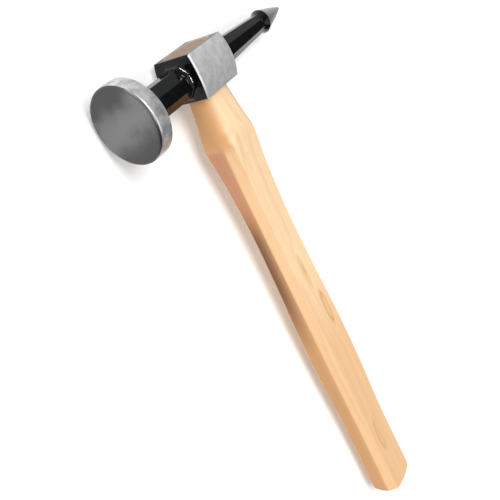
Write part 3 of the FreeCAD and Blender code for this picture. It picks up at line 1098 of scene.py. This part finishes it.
def end_grained(n, colour, facing, rings, end_tone):
    """The wood's colour, with darker speckled end grain where it faces along the handle."""
    endways = n.math("ABSOLUTE", n.vector("DOT_PRODUCT", facing, tuple(HANDLE_AXIS)))
    specks = n.noise(n.place((1.6, 1.6, 0.3)), detail=5, roughness=0.7)
    end_mix = n.ramp(n.math("ADD", specks, n.math("MULTIPLY", rings, 0.3)), 0.3, 0.85)
    end_colour = n.mix(end_mix, end_tone, rgb(98, 64, 42))
    return n.mix(n.math("MULTIPLY", n.ramp(endways, 0.45, 0.9), 0.85), colour, end_colour)


def hickory(name, pale, dark, end_tone):
    """Waxed hickory: grain, sides of another colour with painted shade, a fleck by the neck, and
    darker end grain.
    """
    n = Nodes(name)
    spot = n.place((1, 1, 1))
    height = n.vector("DOT_PRODUCT", spot, (0, 0, 1))
    depth = n.vector("DOT_PRODUCT", spot, (0, 1, 0))
    facing = n.tree.nodes.new("ShaderNodeNewGeometry").outputs["Normal"]
    sideways = n.math("ABSOLUTE", n.vector("DOT_PRODUCT", facing, tuple(HEAD_AXIS)))
    ovals = oval_figures(n, spot)
    rings = growth_rings(n, spot, ovals)
    fibres = n.noise(n.place((2.4, 2.4, 0.06)), detail=6, roughness=0.65)
    pores = n.ramp(n.noise(n.place((5.0, 5.0, 0.16)), detail=3, roughness=0.5), 0.60, 0.72)
    colour = long_grain(n, ovals, rings, fibres, pores, pale, dark)
    colour = tanned_and_shaded(n, colour, sideways, height)
    colour = flecked(n, colour, spot)
    # The sides' colour is partly the wood's own and partly painted shade
    colour = n.mix(side_tone_and_shade(n, sideways, height, depth), colour, side_colour_and_shade(n, height, depth))
    colour = end_grained(n, colour, facing, rings, end_tone)
    rough = n.math("ADD", 0.38, n.math("MULTIPLY", fibres, 0.22))
    relief = n.math("SUBTRACT", n.math("MULTIPLY", fibres, 0.6), n.math("MULTIPLY", pores, 0.8))
    normal = n.bump(relief, 0.35, 0.00008)
    return n.set(Base_Color=colour, Roughness=rough, Normal=normal, Specular_IOR_Level=0.35)


def wedge_steel():
    """Dull dark steel of the small wedges."""
    n = Nodes("wedge_steel")
    marks = n.noise(n.place((3, 3, 3)), detail=5, roughness=0.7)
    colour = n.mix(n.ramp(marks, 0.3, 0.7), rgb(96, 90, 94), rgb(140, 134, 138))
    rough = n.math("ADD", 0.35, n.math("MULTIPLY", marks, 0.25))
    normal = n.bump(marks, 0.4, 0.00008)
    return n.set(Base_Color=colour, Metallic=0.9, Roughness=rough, Normal=normal)


def paper_white():
    """The floor: plain matt white."""
    material = bpy.data.materials.new("paper_white")
    material.use_nodes = True
    shader = material.node_tree.nodes["Principled BSDF"]
    shader.inputs["Base Color"].default_value = (0.92, 0.92, 0.92, 1.0)
    shader.inputs["Roughness"].default_value = 0.9
    shader.inputs["Specular IOR Level"].default_value = 0.1
    return material


# ---------------------------------------------------------------- stage

def make_floor():
    """A large plain floor at the height that the hammer rests on."""
    corners = [(x * FLOOR_HALF, y * FLOOR_HALF, 0) for x, y in ((-1, -1), (1, -1), (1, 1), (-1, 1))]
    mesh = bpy.data.meshes.new("floor")
    mesh.from_pydata(corners, [], [(0, 1, 2, 3)])
    mesh.materials.append(paper_white())
    floor = new_object("floor", mesh)


def aim(item, spot, forward, up):
    """Stand a camera or light at spot, looking along forward."""
    back = -Vector(forward).normalized()
    right = Vector(up).cross(back).normalized()
    true_up = back.cross(right)
    turn = Matrix((right, true_up, back)).transposed().to_4x4()
    item.matrix_world = Matrix.Translation(spot) @ turn


def make_camera():
    """The camera, at the same angle to the hammer as the view that it is compared with."""
    data = bpy.data.cameras.new("camera")
    data.lens = CAMERA_LENS
    data.sensor_width = 36
    data.shift_x, data.shift_y = CAMERA_SHIFT
    data.clip_start = 0.01
    camera = bpy.data.objects.new("camera", data)
    bpy.context.scene.collection.objects.link(camera)
    turn = HAMMER.to_3x3().normalized()
    spot = HAMMER @ Vector(CAMERA_SPOT)
    aim(camera, spot, turn @ Vector(CAMERA_FORWARD), turn @ Vector(CAMERA_UP))
    bpy.context.scene.camera = camera


def soft_light(name, direction, width, strength):
    """A far-off disc of light, which lights the whole floor evenly."""
    data = bpy.data.lights.new(name, "SUN")
    data.angle = math.radians(width)
    data.energy = strength
    data.use_shadow = width > NARROW_LIGHT
    light = bpy.data.objects.new(name, data)
    bpy.context.scene.collection.objects.link(light)
    away = Vector(direction).normalized()
    aim(light, away, -away, (0, 1, 0))


def studio_world():
    """White surroundings, which light and reflect only as a fade from their bright direction."""
    world = bpy.data.worlds.new("studio")
    world.use_nodes = True
    nodes = world.node_tree.nodes
    links = world.node_tree.links
    direction = nodes.new("ShaderNodeTexCoord")
    towards = nodes.new("ShaderNodeVectorMath")
    towards.operation = "DOT_PRODUCT"
    towards.inputs[1].default_value = BRIGHT_DIRECTION
    links.new(direction.outputs["Generated"], towards.inputs[0])
    fade = nodes.new("ShaderNodeMapRange")
    fade.interpolation_type = "SMOOTHSTEP"
    fade.inputs["From Min"].default_value = FADE_START
    fade.inputs["From Max"].default_value = FADE_END
    fade.inputs["To Min"].default_value = DIM_SIDE
    fade.inputs["To Max"].default_value = BRIGHT_SIDE
    links.new(towards.outputs["Value"], fade.inputs["Value"])
    seen = nodes.new("ShaderNodeLightPath")
    strength = nodes.new("ShaderNodeMath")
    strength.operation = "MAXIMUM"
    links.new(fade.outputs["Result"], strength.inputs[0])
    links.new(seen.outputs["Is Camera Ray"], strength.inputs[1])
    links.new(strength.outputs["Value"], nodes["Background"].inputs["Strength"])
    nodes["Background"].inputs["Color"].default_value = (1.0, 1.0, 1.0, 1.0)
    return world


def make_lights():
    """Soft key, fill and edge lights, two narrow ones for glints, and the surroundings."""
    bpy.context.scene.world = studio_world()
    for name, (direction, width, strength) in SOFT_LIGHTS.items():
        soft_light(name, direction, width, strength)
    bpy.context.scene.view_settings.view_transform = "Standard"


# ---------------------------------------------------------------- build

def build():
    """Make every piece, each in place of its CAD node."""
    head = make_head([satin_steel(), turned_steel(), ground_steel(), black_lacquer()])
    finish_piece(head, HEAD_SHARP)
    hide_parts("hammer_head")
    wood = hickory("hickory", rgb(243, 211, 171), rgb(200, 146, 92), rgb(124, 90, 67))
    handle = make_handle(wood)
    finish_piece(handle, WOOD_SHARP)
    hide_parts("handle")
    wedge_wood = hickory("wedge_wood", rgb(205, 160, 112), rgb(150, 100, 64), rgb(158, 108, 74))
    wedge = make_wood_wedge(wedge_wood)
    finish_piece(wedge, WOOD_SHARP)
    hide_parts("wood_wedge")
    steel = wedge_steel()
    for name in STEEL_WEDGE_SPOTS:
        piece = make_steel_wedge(name, steel)
        finish_piece(piece, STEEL_WEDGE_SHARP)
        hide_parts(name)
    make_floor()
    make_camera()
    make_lights()


build()
